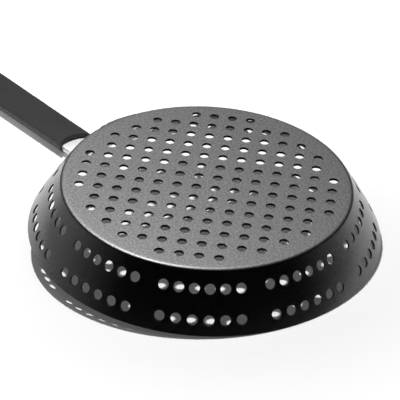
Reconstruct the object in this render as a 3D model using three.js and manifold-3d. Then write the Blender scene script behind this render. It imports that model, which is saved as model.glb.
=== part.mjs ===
// Perforated grill frying pan, lying on its rim with the base up, as millimetres with +Z up.
// The origin is the middle of the base's outer face, and the handle runs out along +X.
import * as THREE from 'three';
import { mergeGeometries, mergeVertices } from 'three/addons/utils/BufferGeometryUtils.js';
import Module from 'manifold-3d';

const wasm = await Module();
wasm.setup();

// Driving dimensions of the pressed pan body
const baseRadius = 114; // where the base's plane and the wall's line would meet
const rimRadius = 140;
const panDepth = 42.5;
const sheet = 1.5;
const cornerRadius = 5; // outer bend between the base and the wall
const rimTurnIn = 1.2; // how far the rim is turned in from the straight line of the wall
const rimTurnHeight = 8.6; // height of the band of wall that the turn takes

// Driving dimensions of the punched holes
const basePitch = 15;
const baseHole = 7.5; // diameter
const basePatternRadius = 102; // furthest hole centre from the middle
const gridTurn = 45.7; // degrees from the handle to the rows of holes
const wallHole = 8; // diameter
const wallGroups = 9;
const wallGroupPitch = 37.8; // degrees from one group to the next
const holesInGroup = 6;
const wallRings = [
  { along: 14.8, step: 5.45 }, // distance down the wall from its corner, and degrees between holes
  { along: 38, step: 5.25 },
];

// Driving dimensions of the bracket, a pressed steel strap riveted to the wall
const strapWidth = 20;
const strapThickness = 3;
const strapBend = 10; // radius at the middle of the strap
const padWidth = 42;
const padStart = 8; // along the wall from its corner
const padLength = 30;
const padCorner = 9;
const tangLength = 62; // length of strap past the mouth of the grip

// Driving dimensions of the rivets
const rivetShank = 5; // diameter
const rivetHead = 10.5; // diameter of the domed head outside
const rivetHeadHeight = 2.4;
const rivetTail = 12; // diameter of the flat head inside
const rivetTailHeight = 1.2;
const rivetSpread = 26; // between the two side rivets
const rivetSideAlong = 25;
const rivetMiddleAlong = 16;

// Driving dimensions of the flame guard, a flat oval sleeve over the strap
const guardWidth = 26;
const guardHeight = 5.2;
const guardNeck = 2.5; // bare strap between its bend and the sleeve
const guardInGrip = 8; // length of the sleeve that sits inside the grip's mouth

// Driving dimensions of the moulded grip
const gripFromRim = 54; // from the rim to the middle of the grip's hollowed end
const gripReach = rimRadius + gripFromRim; // the same place from the pan's axis
const gripDrop = 62.1; // of the grip's flat face below the base's plane, at that same place
const gripSlope = 6.2; // degrees that the grip falls away from the base's plane
const gripLength = 165;
const gripWidthStart = 31.2;
const gripWidthEnd = 36.6;
const gripDepthStart = 12.2;
const gripDepthWaist = 11.2;
const gripDepthEnd = 12;
const gripWaist = 100; // from the hollowed end to the shallowest place
const gripCrown = 0.7; // rise of the flat face along its middle
const gripEndFlat = 0.4; // share of the width that the free end keeps as a flat
const gripEndLift = 0.2; // share of the depth that is lost as the free end narrows
const gripEndRound = 14; // length of the free end over which the grip narrows
const gripMouthRadius = 24; // hollow end that faces the pan
const gripSkin = 4.1; // cover of the grip over the flame guard
const gripSquareness = 3; // exponent of the rounded side: 2 is an ellipse
const hangHoleWidth = 10;
const hangHoleLength = 20;
const hangHoleWall = 9; // material past the hanging hole

// Driving dimensions of the long screw that draws the grip onto the strap, with its square nut
const screwDiameter = 4;
const screwHead = 6;
const screwHeadHeight = 2.8;
const screwSlot = 1; // width of the driver slot
const screwSlotDepth = 1.2;
const screwThreadIn = 10; // length of the screw inside the nut
const screwRecess = 5; // depth of the screw's head below the hanging hole's wall
const washerDiameter = 6.6;
const washerThickness = 0.8;
const nutWidth = 10;
const nutHeight = 5.4;
const nutLength = 12;

// Clearance between pieces that rest on each other, and round a shank in its hole
const fit = 0.3;

// How finely round things are faceted
const bodySides = 56;
const holeSides = 8;
const smallSides = 16;

const degrees = (angle) => THREE.MathUtils.degToRad(angle);

// Turns a closed geometry into a solid, with shared corners merged and empty triangles left out.
function solid(geometry) {
  const bare = geometry.clone();
  bare.deleteAttribute('normal');
  bare.deleteAttribute('uv');
  const merged = mergeVertices(bare, 1e-4);
  const index = merged.index.array;
  const triangles = [];
  for (let i = 0; i < index.length; i += 3) {
    const [a, b, c] = [index[i], index[i + 1], index[i + 2]];
    if (a !== b && b !== c && c !== a) triangles.push(a, b, c);
  }
  return new wasm.Manifold(new wasm.Mesh({
    numProp: 3,
    vertProperties: new Float32Array(merged.attributes.position.array),
    triVerts: new Uint32Array(triangles),
  }));
}

// Gives a solid back as a geometry, with triangles that lie in one plane merged.
function geometryOf(body) {
  const mesh = body.asOriginal().simplify(1e-3).getMesh();
  const geometry = new THREE.BufferGeometry();
  geometry.setAttribute('position', new THREE.BufferAttribute(new Float32Array(mesh.vertProperties), 3));
  geometry.setIndex(new THREE.BufferAttribute(new Uint32Array(mesh.triVerts), 1));
  geometry.computeVertexNormals();
  return geometry;
}

// Revolves a profile of [radius, height] pairs about Z.
function revolve(profile, sides) {
  const points = profile.map(([radius, height]) => new THREE.Vector2(radius, height));
  return new THREE.LatheGeometry(points, sides).rotateX(Math.PI / 2);
}

// A cylinder along Z between two heights. Its flats keep the area of the true circle.
function drum(diameter, low, high, sides = smallSides) {
  const turn = (2 * Math.PI) / sides;
  const radius = (diameter / 2) * Math.sqrt(turn / Math.sin(turn));
  const geometry = new THREE.CylinderGeometry(radius, radius, high - low, sides);
  return geometry.rotateX(Math.PI / 2).translate(0, 0, (low + high) / 2);
}

// A block between two corners.
function block(low, high) {
  const size = high.map((value, axis) => value - low[axis]);
  const middle = high.map((value, axis) => (value + low[axis]) / 2);
  return new THREE.BoxGeometry(...size).translate(...middle);
}

// A rectangle about its middle with rounded corners, or round ends where the corners meet.
function roundedOutline(length, width, corner) {
  const radius = Math.min(corner, length / 2, width / 2);
  const [x, y] = [length / 2 - radius, width / 2 - radius];
  const steps = 5;
  const points = [];
  [[x, y], [-x, y], [-x, -y], [x, -y]].forEach(([middleX, middleY], quarter) => {
    for (let i = 0; i <= steps; i += 1) {
      const angle = (Math.PI / 2) * (quarter + i / steps);
      const spoke = new THREE.Vector2(radius, 0).rotateAround(new THREE.Vector2(), angle);
      points.push(spoke.add(new THREE.Vector2(middleX, middleY)));
    }
  });
  const next = (i) => points[(i + 1) % points.length];
  return new THREE.Shape(points.filter((point, i) => point.distanceTo(next(i)) > 1e-3));
}

// Extrudes an outline in XY upwards from one height to another.
function prism(shape, low, high) {
  const options = { depth: high - low, bevelEnabled: false };
  return new THREE.ExtrudeGeometry(shape, options).translate(0, 0, low);
}

// The wall is a cone. The half profile below is in the plane of the handle, X outwards and Z up.
const wallAngle = Math.atan((rimRadius + rimTurnIn - baseRadius) / panDepth);
const downWall = new THREE.Vector2(Math.sin(wallAngle), -Math.cos(wallAngle));
const outOfWall = new THREE.Vector2(Math.cos(wallAngle), Math.sin(wallAngle));
const turnStart = (panDepth - rimTurnHeight) / Math.cos(wallAngle);

// A point on the wall, by its distance down from the corner and its height off the outer face.
function onWall(along, off) {
  return new THREE.Vector2(baseRadius, 0).addScaledVector(downWall, along).addScaledVector(outOfWall, off);
}

// Places a geometry made about Z so that its Z points out of the wall, its X runs down the wall
// and its origin is on the wall's outer face, then turns it round the pan, by degrees and by a
// distance sideways.
function seatOnWall(geometry, along, azimuth, sideways = 0) {
  const place = onWall(along, 0);
  const lean = new THREE.Matrix4().makeBasis(
    new THREE.Vector3(downWall.x, 0, downWall.y),
    new THREE.Vector3(0, 1, 0),
    new THREE.Vector3(outOfWall.x, 0, outOfWall.y),
  );
  geometry.applyMatrix4(lean).translate(place.x, 0, place.y);
  return geometry.rotateZ(degrees(azimuth) + sideways / place.x);
}

// Profile of the pressed sheet on one of its faces, from the axis to the rim. The inner face
// lies one thickness in, with its bend about the same centre.
function sheetFace(inset) {
  const slopeDown = Math.PI / 2 - wallAngle;
  const tangent = cornerRadius * Math.tan(slopeDown / 2);
  const centre = new THREE.Vector2(baseRadius - tangent, -cornerRadius);
  const points = [[0, -inset]];
  const bendSteps = 3;
  for (let i = 0; i <= bendSteps; i += 1) {
    const angle = Math.PI / 2 - (slopeDown * i) / bendSteps;
    const radius = cornerRadius - inset;
    points.push([centre.x + radius * Math.cos(angle), centre.y + radius * Math.sin(angle)]);
  }
  const start = onWall(turnStart, -inset);
  const end = new THREE.Vector2(rimRadius - inset, -panDepth);
  const control = start.clone().addScaledVector(downWall, start.distanceTo(end) / 2);
  const turn = new THREE.QuadraticBezierCurve(start, control, end);
  turn.getPoints(3).forEach((point) => points.push([point.x, point.y]));
  return points;
}

// The square grid of holes in the base, as far as the pattern's radius.
function baseHoles() {
  const reach = Math.ceil(basePatternRadius / basePitch);
  const cutters = [];
  for (let i = -reach; i < reach; i += 1) {
    for (let k = -reach; k < reach; k += 1) {
      const [x, y] = [(i + 0.5) * basePitch, (k + 0.5) * basePitch];
      if (Math.hypot(x, y) > basePatternRadius) continue;
      cutters.push(drum(baseHole, -2 * cornerRadius, cornerRadius, holeSides).translate(x, y, 0));
    }
  }
  return mergeGeometries(cutters).rotateZ(degrees(gridTurn));
}

// Two rings of holes in the wall, in groups, with none where the handle is.
function wallHoles() {
  const cutters = [];
  for (const ring of wallRings) {
    for (let group = 0; group < wallGroups; group += 1) {
      const middle = 180 + (group - (wallGroups - 1) / 2) * wallGroupPitch;
      for (let hole = 0; hole < holesInGroup; hole += 1) {
        const azimuth = middle + (hole - (holesInGroup - 1) / 2) * ring.step;
        const cutter = drum(wallHole, -3 * sheet, 2 * sheet, holeSides);
        cutters.push(seatOnWall(cutter, ring.along, azimuth));
      }
    }
  }
  return mergeGeometries(cutters);
}

// The three rivets: one nearer the base in the middle, and one at each side of the strap.
const rivets = [
  { name: 'rivet_middle', along: rivetMiddleAlong, sideways: 0 },
  { name: 'rivet_left', along: rivetSideAlong, sideways: -rivetSpread / 2 },
  { name: 'rivet_right', along: rivetSideAlong, sideways: rivetSpread / 2 },
];
const padFace = fit + strapThickness; // how far the pad's outer face lies off the wall

function rivetHoles() {
  const cutters = rivets.map(({ along, sideways }) => {
    const cutter = drum(rivetShank + 2 * fit, -3 * sheet, 3 * strapThickness);
    return seatOnWall(cutter, along, 0, sideways);
  });
  return solid(mergeGeometries(cutters));
}

function panBody() {
  const shell = solid(revolve([...sheetFace(sheet), ...sheetFace(0).reverse()], bodySides));
  return shell.subtract(solid(baseHoles())).subtract(solid(wallHoles())).subtract(rivetHoles());
}

// The handle's own frame: its origin is on the grip's flat face at the middle of the hollowed
// end, its X runs out along the grip and its Z points out of that flat face.
const handleFrame = new THREE.Group();
handleFrame.position.set(gripReach, 0, -gripDrop);
handleFrame.rotation.y = degrees(gripSlope);
const alongGrip = new THREE.Vector2(Math.cos(degrees(gripSlope)), -Math.sin(degrees(gripSlope)));
const outOfGrip = new THREE.Vector2(Math.sin(degrees(gripSlope)), Math.cos(degrees(gripSlope)));
const strapMiddle = -(gripSkin + guardHeight / 2); // height of the strap's middle in that frame

// The strap's middle line: down the wall, a bend about the knee, then out into the grip.
const strapStart = onWall(rivetSideAlong, fit + strapThickness / 2);
const strapMouth = new THREE.Vector2(gripReach, -gripDrop).addScaledVector(outOfGrip, strapMiddle);
const kneeReach = strapMouth.clone().sub(strapStart).cross(alongGrip) / downWall.cross(alongGrip);
const strapKnee = strapStart.clone().addScaledVector(downWall, kneeReach);
const strapTurn = Math.acos(downWall.dot(alongGrip));
const strapBendRun = strapBend * Math.tan(strapTurn / 2);

// Outline of the strap from the side: two straight runs joined by a round bend at the knee.
function strapOutline() {
  const end = strapMouth.clone().addScaledVector(alongGrip, tangLength);
  const centre = strapKnee.clone().addScaledVector(downWall, -strapBendRun);
  centre.addScaledVector(outOfWall, strapBend);
  const steps = 6;
  const face = (side) => {
    const points = [strapStart.clone().addScaledVector(outOfWall, side)];
    for (let i = 0; i <= steps; i += 1) {
      const spoke = outOfWall.clone().multiplyScalar(side - strapBend);
      points.push(spoke.rotateAround(new THREE.Vector2(), (strapTurn * i) / steps).add(centre));
    }
    points.push(end.clone().addScaledVector(outOfGrip, side));
    return points;
  };
  return new THREE.Shape([...face(-strapThickness / 2), ...face(strapThickness / 2).reverse()]);
}

// Steel strap: a pad pressed to the wall's curve, a straight run past the rim, a bend, and a
// tang that lies inside the grip.
function handleBracket() {
  const [high, low] = [padStart - padCorner, padStart + padLength + padCorner];
  const ring = [[high, fit], [low, fit], [low, padFace], [high, padFace], [high, fit]];
  const cone = solid(revolve(ring.map(([along, off]) => onWall(along, off).toArray()), bodySides));
  const outline = prism(roundedOutline(padLength, padWidth, padCorner), -padWidth / 2, padWidth / 2);
  const pad = cone.intersect(solid(seatOnWall(outline, padStart + padLength / 2, 0)));
  const strap = prism(strapOutline(), -strapWidth / 2, strapWidth / 2).rotateX(Math.PI / 2);
  return pad.add(solid(strap)).subtract(rivetHoles());
}

// Rivet with a domed head outside the pad and a flat head inside the pan, about its own axis.
function rivet() {
  const wallBow = (rivetTail / 2) * Math.tan(Math.PI / bodySides); // the hollow wall nears the tail
  const inside = -sheet - fit - wallBow;
  const outside = padFace + fit;
  const dome = [];
  const steps = 4;
  for (let i = 0; i < steps; i += 1) {
    const angle = (Math.PI / 2) * (i / steps);
    const height = rivetHeadHeight * (0.25 + 0.75 * Math.sin(angle));
    dome.push([(rivetHead / 2) * Math.cos(angle), outside + height]);
  }
  const profile = [
    [0, inside - rivetTailHeight],
    [rivetTail / 2 - rivetTailHeight / 2, inside - rivetTailHeight],
    [rivetTail / 2, inside],
    [rivetShank / 2, inside],
    [rivetShank / 2, outside],
    [rivetHead / 2, outside],
    ...dome,
    [0, outside + rivetHeadHeight],
  ];
  return revolve(profile, smallSides);
}

// Extrudes an outline drawn as [width, height] along the handle's X, about the strap's line.
function alongHandle(shape, from, to) {
  const basis = new THREE.Matrix4().makeBasis(
    new THREE.Vector3(0, 1, 0),
    new THREE.Vector3(0, 0, 1),
    new THREE.Vector3(1, 0, 0),
  );
  return solid(prism(shape, from, to).applyMatrix4(basis).translate(0, 0, strapMiddle));
}

// Flat oval section of the flame guard, grown by a distance all round.
function ovalAlong(from, to, grow) {
  const [width, height] = [guardWidth + 2 * grow, guardHeight + 2 * grow];
  return alongHandle(roundedOutline(width, height, height / 2), from, to);
}

// Rectangular bar or slot, and round bar or hole, on the strap's line.
function flatAlong(width, height, from, to) {
  const low = [from, -width / 2, strapMiddle - height / 2];
  const high = [to, width / 2, strapMiddle + height / 2];
  return solid(block(low, high));
}

function roundAlong(diameter, from, to) {
  return solid(drum(diameter, from, to).rotateY(Math.PI / 2).translate(0, 0, strapMiddle));
}

// Places along the grip's X that several pieces share.
const guardStart = -strapKnee.distanceTo(strapMouth) + strapBendRun + guardNeck;
const hangHoleEnd = gripLength - hangHoleWall;
const hangHoleStart = hangHoleEnd - hangHoleLength;
const headEnd = hangHoleStart - screwRecess;
const headStart = headEnd - screwHeadHeight;
const washerEnd = headStart - fit;
const washerStart = washerEnd - washerThickness;
const nutStart = tangLength + fit;
const nutEnd = nutStart + nutLength;
const past = 2 * fit; // cutters run this far past the face they open

// The sleeve's bore clears the strap's flat faces, and its sheet is equally thick all round.
function flameGuard() {
  const guardSheet = (guardHeight - strapThickness) / 2 - fit;
  const bore = ovalAlong(guardStart - past, guardInGrip + past, -guardSheet);
  return ovalAlong(guardStart, guardInGrip, 0).subtract(bore);
}

// Half width and depth of the grip at a distance along it, with its free end rounded off.
function gripSection(x) {
  const share = THREE.MathUtils.clamp(x / gripLength, 0, 1);
  const width = THREE.MathUtils.lerp(gripWidthStart, gripWidthEnd, share) / 2;
  const towardsWaist = THREE.MathUtils.clamp(x / gripWaist, 0, 1);
  const pastWaist = Math.max(0, (x - gripWaist) / (gripLength - gripWaist));
  const front = THREE.MathUtils.lerp(gripDepthStart, gripDepthWaist, towardsWaist);
  const depth = front + (gripDepthEnd - gripDepthWaist) * pastWaist;
  const intoEnd = Math.max(0, (x - (gripLength - gripEndRound)) / gripEndRound);
  const round = Math.sqrt(1 - (1 - gripEndFlat ** 2) * intoEnd ** 2);
  const lift = (1 - gripEndLift) + gripEndLift * round;
  return { width: width * round, depth: depth * lift, crown: gripCrown * round };
}

// Closed outline of one section, as [y, z] pairs: a slightly crowned face and a rounded back.
function gripRing({ width, depth, crown }) {
  const ring = [];
  const faceSteps = 4;
  for (let i = 0; i < faceSteps; i += 1) {
    const y = width * ((2 * i) / faceSteps - 1);
    ring.push([y, crown * (1 - (y / width) ** 2)]);
  }
  const backSteps = 14;
  for (let i = 0; i < backSteps; i += 1) {
    const angle = (Math.PI * i) / backSteps;
    const [c, s] = [Math.cos(angle), Math.sin(angle)];
    const power = 2 / gripSquareness;
    ring.push([width * Math.sign(c) * Math.abs(c) ** power, -depth * s ** power]);
  }
  return ring;
}

// Skins a row of sections with the same number of points, and closes both ends flat.
function loft(stations) {
  const count = stations[0].ring.length;
  const positions = [];
  const index = [];
  for (const { x, ring } of stations) {
    for (const [y, z] of ring) positions.push(x, y, z);
  }
  for (let s = 0; s < stations.length - 1; s += 1) {
    for (let i = 0; i < count; i += 1) {
      const [a, b] = [s * count + i, s * count + ((i + 1) % count)];
      index.push(a, a + count, b, b, a + count, b + count);
    }
  }
  const last = (stations.length - 1) * count;
  for (let i = 1; i < count - 1; i += 1) {
    index.push(0, i, i + 1);
    index.push(last, last + i + 1, last + i);
  }
  const geometry = new THREE.BufferGeometry();
  geometry.setAttribute('position', new THREE.Float32BufferAttribute(positions, 3));
  geometry.setIndex(index);
  return geometry;
}

// Moulded grip: its hollowed end, the pocket for the guard, strap and nut, the screw's bore
// from the far end, and the hanging hole.
function grip() {
  const tips = gripMouthRadius - Math.sqrt(gripMouthRadius ** 2 - (gripWidthStart / 2) ** 2);
  const startX = -tips - past;
  const straight = gripLength - gripEndRound;
  const places = [startX];
  for (let i = 0; i <= 5; i += 1) places.push((straight * i) / 5);
  for (let i = 1; i <= 6; i += 1) places.push(straight + gripEndRound * Math.sin((Math.PI * i) / 12));
  const body = solid(loft(places.map((x) => ({ x, ring: gripRing(gripSection(x)) }))));

  const [under, over] = [-2 * gripDepthStart, gripDepthStart];
  const mouth = drum(2 * gripMouthRadius, under, over, 48).translate(-gripMouthRadius, 0, 0);
  const hangOutline = roundedOutline(hangHoleLength, hangHoleWidth, hangHoleWidth / 2);
  const hangHole = prism(hangOutline, under, over).translate((hangHoleStart + hangHoleEnd) / 2, 0, 0);
  return body
    .subtract(solid(mouth))
    .subtract(solid(hangHole))
    .subtract(ovalAlong(startX - past, guardInGrip + fit, fit))
    .subtract(flatAlong(strapWidth + 2 * fit, strapThickness + 2 * fit, 0, nutStart))
    .subtract(flatAlong(nutWidth + 2 * fit, nutHeight + 2 * fit, 0, nutEnd + fit))
    .subtract(roundAlong(screwDiameter + 2 * fit, 0, headStart))
    .subtract(roundAlong(washerDiameter + 2 * fit, washerStart - fit, hangHoleStart + past))
    .subtract(roundAlong(screwHead + 2 * fit, hangHoleEnd - past, gripLength + past));
}

// Square nut welded to the strap's end. The thread is a plain bore.
function tangNut() {
  const bore = roundAlong(screwDiameter + 2 * fit, nutStart - past, nutEnd + past);
  return flatAlong(nutWidth, nutHeight, nutStart, nutEnd).subtract(bore);
}

function tieScrew() {
  const shank = roundAlong(screwDiameter, nutEnd - screwThreadIn, headStart + past);
  const slot = flatAlong(screwHead + past, screwSlot, headEnd - screwSlotDepth, headEnd + past);
  return shank.add(roundAlong(screwHead, headStart, headEnd)).subtract(slot);
}

function screwWasher() {
  const bore = roundAlong(screwDiameter + 2 * fit, washerStart - past, washerEnd + past);
  return roundAlong(washerDiameter, washerStart, washerEnd).subtract(bore);
}

// Finishes
const coatedSteel = new THREE.MeshStandardMaterial({ color: 0x3a3a3b, roughness: 0.5, metalness: 0.2 });
const polishedSteel = new THREE.MeshStandardMaterial({ color: 0xc9cacc, roughness: 0.2, metalness: 1 });
const platedSteel = new THREE.MeshStandardMaterial({ color: 0xa9aaac, roughness: 0.35, metalness: 1 });
const blackMoulding = new THREE.MeshStandardMaterial({ color: 0x2b2b2c, roughness: 0.55, metalness: 0 });

// A named piece of the pan.
function piece(name, geometry, material) {
  const mesh = new THREE.Mesh(geometry, material);
  mesh.name = name;
  return mesh;
}

const pan = new THREE.Group();
pan.add(piece('pan_body', geometryOf(panBody()), coatedSteel));
pan.add(piece('handle_bracket', geometryOf(handleBracket()), polishedSteel));
for (const { name, along, sideways } of rivets) {
  pan.add(piece(name, seatOnWall(rivet(), along, 0, sideways), platedSteel));
}
handleFrame.add(piece('flame_guard', geometryOf(flameGuard()), polishedSteel));
handleFrame.add(piece('grip', geometryOf(grip()), blackMoulding));
handleFrame.add(piece('tang_nut', geometryOf(tangNut()), platedSteel));
handleFrame.add(piece('tie_screw', geometryOf(tieScrew()), platedSteel));
handleFrame.add(piece('screw_washer', geometryOf(screwWasher()), platedSteel));
pan.add(handleFrame);

export default pan;
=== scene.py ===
# A perforated grill frying pan, lying on its rim with the base up, in metres with +Z out of the base.
import math

import bmesh
import bpy
import numpy as np
from mathutils import Matrix, Vector


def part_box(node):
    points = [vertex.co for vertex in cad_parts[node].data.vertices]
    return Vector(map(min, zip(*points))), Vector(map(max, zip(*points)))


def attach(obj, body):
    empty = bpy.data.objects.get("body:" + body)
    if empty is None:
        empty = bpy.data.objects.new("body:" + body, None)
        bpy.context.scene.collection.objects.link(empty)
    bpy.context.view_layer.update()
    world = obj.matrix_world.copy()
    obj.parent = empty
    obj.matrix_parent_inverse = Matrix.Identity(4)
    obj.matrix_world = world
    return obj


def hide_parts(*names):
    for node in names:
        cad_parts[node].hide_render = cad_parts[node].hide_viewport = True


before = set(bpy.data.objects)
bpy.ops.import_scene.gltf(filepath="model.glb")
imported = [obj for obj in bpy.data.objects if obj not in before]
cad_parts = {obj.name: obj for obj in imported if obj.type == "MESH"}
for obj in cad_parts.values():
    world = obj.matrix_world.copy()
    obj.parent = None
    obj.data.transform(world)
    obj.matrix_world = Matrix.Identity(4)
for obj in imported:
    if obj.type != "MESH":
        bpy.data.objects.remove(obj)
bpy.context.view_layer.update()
mm = 0.001

# Pan body: one steel sheet pressed to a flat base and a flared wall, trimmed plain at the rim and
# punched with a square grid of holes in the base and two rings of grouped holes in the wall. The
# spring of the punch and the sprayed coat leave the edges of the holes slightly round.
base_radius = 114 * mm  # where the base's plane and the wall's line would meet
rim_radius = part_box("pan_body")[1][0]
pan_depth = -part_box("pan_body")[0][2]
sheet = 1.5 * mm
bend_length = 6 * mm  # along the outer face, from the flat base to the straight wall
bend_power = 3.5  # how late the bend tightens: a plain arc is 1
rim_turn_in = 1.2 * mm
rim_turn_height = 22 * mm  # the lower half of the wall bows in very slightly
edge_round = 0.35 * mm  # of the rim's cut
hole_round = 0.12 * mm
base_burr = 0.7 * mm  # raised round the base's holes on the inner face, where the punch came out
burr_foot = 0.3 * mm  # from the burr's crest out to its foot
base_pitch = 15 * mm
base_hole = 7.5 * mm
base_pattern_radius = 102 * mm
grid_turn = math.radians(45.7)
wall_hole = 8 * mm
wall_groups = 9
group_pitch = math.radians(37.8)
holes_in_group = 6
ring_along = (14.8 * mm, 38 * mm)  # down the wall from its corner
ring_step = (math.radians(5.45), math.radians(5.25))
cell_height = 13 * mm  # of the patch of wall that each hole lies in
side_steps = 6  # mesh steps along each side of a hole's patch
bend_samples = 400

wall_angle = math.atan((rim_radius + rim_turn_in - base_radius) / pan_depth)
down_wall = np.array([math.sin(wall_angle), -math.cos(wall_angle)])
out_of_wall = np.array([math.cos(wall_angle), math.sin(wall_angle)])
bend_angle = math.pi / 2 - wall_angle
bend_s = np.linspace(0, bend_length, bend_samples)
bend_turn = bend_angle * (bend_s / bend_length) ** bend_power
bend_step = bend_length / (bend_samples - 1)
bend_middle = (bend_turn[1:] + bend_turn[:-1]) / 2
bend_r = np.concatenate([[0], np.cumsum(np.cos(bend_middle))]) * bend_step
bend_z = -np.concatenate([[0], np.cumsum(np.sin(bend_middle))]) * bend_step
bend_along = -bend_z[-1] / math.cos(wall_angle)  # down the wall's line at the bend's end
flat_end = base_radius + bend_along * math.sin(wall_angle) - bend_r[-1]
wall_top = flat_end + bend_length
turn_top = wall_top - bend_along + (pan_depth - rim_turn_height) / math.cos(wall_angle)
turn_start = np.array([base_radius, 0]) + down_wall * (turn_top - wall_top + bend_along)
turn_end = np.array([rim_radius, -pan_depth])
turn_length = float(np.linalg.norm(turn_end - turn_start))
sheet_end = turn_top + turn_length


def down_sheet(along):
    """Distance along the outer face, from the axis, of a place given down the wall from its corner."""
    return wall_top - bend_along + along


def on_sheet(s, depth=0.0):
    """Radius, height and outward normal at a distance s along the sheet's outer face, sunk by depth.

    Flat to the bend, then a bend whose turn grows by a power of the distance, then the straight
    wall, then a quadratic curve whose last point is the rim. Near the rim the sheet is sunk level,
    so its cut is flat.
    """
    s = np.asarray(s, dtype=float)
    turn = np.interp(s - flat_end, bend_s, bend_turn)
    r = np.minimum(s, flat_end) + np.interp(s - flat_end, bend_s, bend_r)
    z = np.interp(s - flat_end, bend_s, bend_z)
    straight = np.clip(s, wall_top, turn_top) - wall_top
    r = r + straight * down_wall[0]
    z = z + straight * down_wall[1]
    t = np.clip((s - turn_top) / turn_length, 0, 1)
    control = turn_start + down_wall * turn_length / 2
    curve = [
        (1 - t) ** 2 * turn_start[i] + 2 * t * (1 - t) * control[i] + t**2 * turn_end[i] for i in (0, 1)
    ]
    r = np.where(s > turn_top, curve[0], r)
    z = np.where(s > turn_top, curve[1], z)
    slope = [(1 - t) * (control[i] - turn_start[i]) + t * (turn_end[i] - control[i]) for i in (0, 1)]
    length = np.hypot(slope[0], slope[1])
    normal_r = np.where(s > turn_top, -slope[1] / length, np.sin(turn))
    normal_z = np.where(s > turn_top, slope[0] / length, np.cos(turn))
    sink_r = normal_r * (1 - t) + t
    sink_z = normal_z * (1 - t)
    size = np.hypot(sink_r, sink_z)
    return r - depth * sink_r / size, z - depth * sink_z / size, normal_r, normal_z


def around(r, z, azimuth):
    """Points at a radius, a height and an azimuth, as an array whose last axis is x, y, z."""
    r, z, azimuth = np.broadcast_arrays(r, z, azimuth)
    return np.stack([r * np.cos(azimuth), r * np.sin(azimuth), z], axis=-1)


class Patchwork:
    """Collects points and faces, block by block, for one mesh."""

    def __init__(self):
        self.points, self.normals, self.marks, self.faces, self.lids, self.count = [], [], [], [], [], 0

    def add(self, points, normals=None, mark=0.0):
        """Takes points with a mark, and normals if they are known, and gives their numbers back."""
        points = np.asarray(points, dtype=float)
        numbers = self.count + np.arange(points[..., 0].size).reshape(points.shape[:-1])
        self.points.append(points.reshape(-1, 3))
        if normals is not None:
            self.normals.append(np.broadcast_to(normals, points.shape).reshape(-1, 3))
        self.marks.append(np.full(numbers.size, mark))
        self.count += numbers.size
        return numbers

    def skin(self, a, b, c, d):
        """Adds the four-sided faces whose corners are four arrays of numbers of one shape."""
        self.faces.append(np.stack([a, b, c, d], axis=-1).reshape(-1, 4))

    def rings(self, outer, inner):
        """Adds the band between two closed rings, numbered round in step along the last axis."""
        self.skin(outer, np.roll(outer, -1, axis=-1), np.roll(inner, -1, axis=-1), inner)

    def mesh(self, name, crease=40):
        """Makes the mesh, smooth by its known normals, or else up to a crease in degrees."""
        faces = np.concatenate(self.faces).tolist() + self.lids
        mesh = bpy.data.meshes.new(name)
        mesh.from_pydata(np.concatenate(self.points), [], faces)
        mesh.shade_smooth()
        if self.normals:
            mesh.normals_split_custom_set_from_vertices(np.concatenate(self.normals))
        else:
            mesh.set_sharp_from_angle(angle=math.radians(crease))
        mesh.attributes.new("mark", "FLOAT", "POINT").data.foreach_set("value", np.concatenate(self.marks))
        return mesh


def piece(name, mesh, body="root"):
    """Puts a mesh into the scene as a piece that rides on a body."""
    obj = bpy.data.objects.new(name, mesh)
    bpy.context.scene.collection.objects.link(obj)
    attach(obj, body)
    return obj


# The edge of a hole's square patch, as places from -1 to 1 on its two sides, and the hole's angles
side = np.arange(side_steps) * 2 / side_steps - 1
one = np.ones(side_steps)
patch_u = np.concatenate([one, -side, -one, side])
patch_v = np.concatenate([side, one, -side, -one])
hole_angle = np.arange(4 * side_steps) * (math.pi / 2 / side_steps) - math.pi / 4


def hole_rings(work, place, radius, outer, inner, burr=0.0):
    """Lines a hole through the sheet between the patch's ring on the outer and on the inner face.

    place(x, y, depth) gives points and the axes u, v and n, for x and y about the hole's middle.
    The first four rings are the hole's edge on the outer face, its bore at both ends of the round
    edges and its edge on the inside, each a circle in x and y. The last is the foot of the burr,
    or a plain ring on the inner face where the hole has no burr.
    """
    steps = [(radius + hole_round, 0, "face"), (radius, hole_round, "bore")]
    steps += [(radius, sheet + burr - hole_round, "bore"), (radius + hole_round, sheet + burr, "back")]
    steps += [(radius + hole_round + burr_foot, sheet, "back")]
    last = outer
    for reach, depth, kind in steps:
        x, y = reach * np.cos(hole_angle), reach * np.sin(hole_angle)
        points, u, v, n = place(x, y, depth)
        bore = -(u * np.cos(hole_angle)[:, None] + v * np.sin(hole_angle)[:, None])
        ring = work.add(points, {"face": n, "bore": bore, "back": -n}[kind], float(kind == "bore"))
        work.rings(last, ring)
        last = ring
    work.rings(last, inner)


pan = Patchwork()

# The base's holes, in square cells about the middle. Neighbours share the points on their sides.
reach = int(math.ceil(base_pattern_radius / base_pitch))
halves = np.arange(-reach, reach) + 0.5
cell_x, cell_y = [axis.ravel() for axis in np.meshgrid(halves, halves)]
inside = np.hypot(cell_x, cell_y) * base_pitch <= base_pattern_radius
cell_x, cell_y = cell_x[inside], cell_y[inside]
lattice_x = np.rint((cell_x[:, None] + patch_u / 2) * side_steps).astype(int)
lattice_y = np.rint((cell_y[:, None] + patch_v / 2) * side_steps).astype(int)
lattice = np.stack([lattice_x.ravel(), lattice_y.ravel()], axis=1)
lattice, shared = np.unique(lattice, axis=0, return_inverse=True)
shared = shared.reshape(lattice_x.shape)


def on_base(x, y, depth):
    """Points on the base at x and y along its rows of holes, turned to lie under the handle."""
    c, s = math.cos(grid_turn), math.sin(grid_turn)
    x, y = np.broadcast_arrays(x, y)
    return np.stack([x * c - y * s, x * s + y * c, np.full(x.shape, -depth)], axis=-1)


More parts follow.
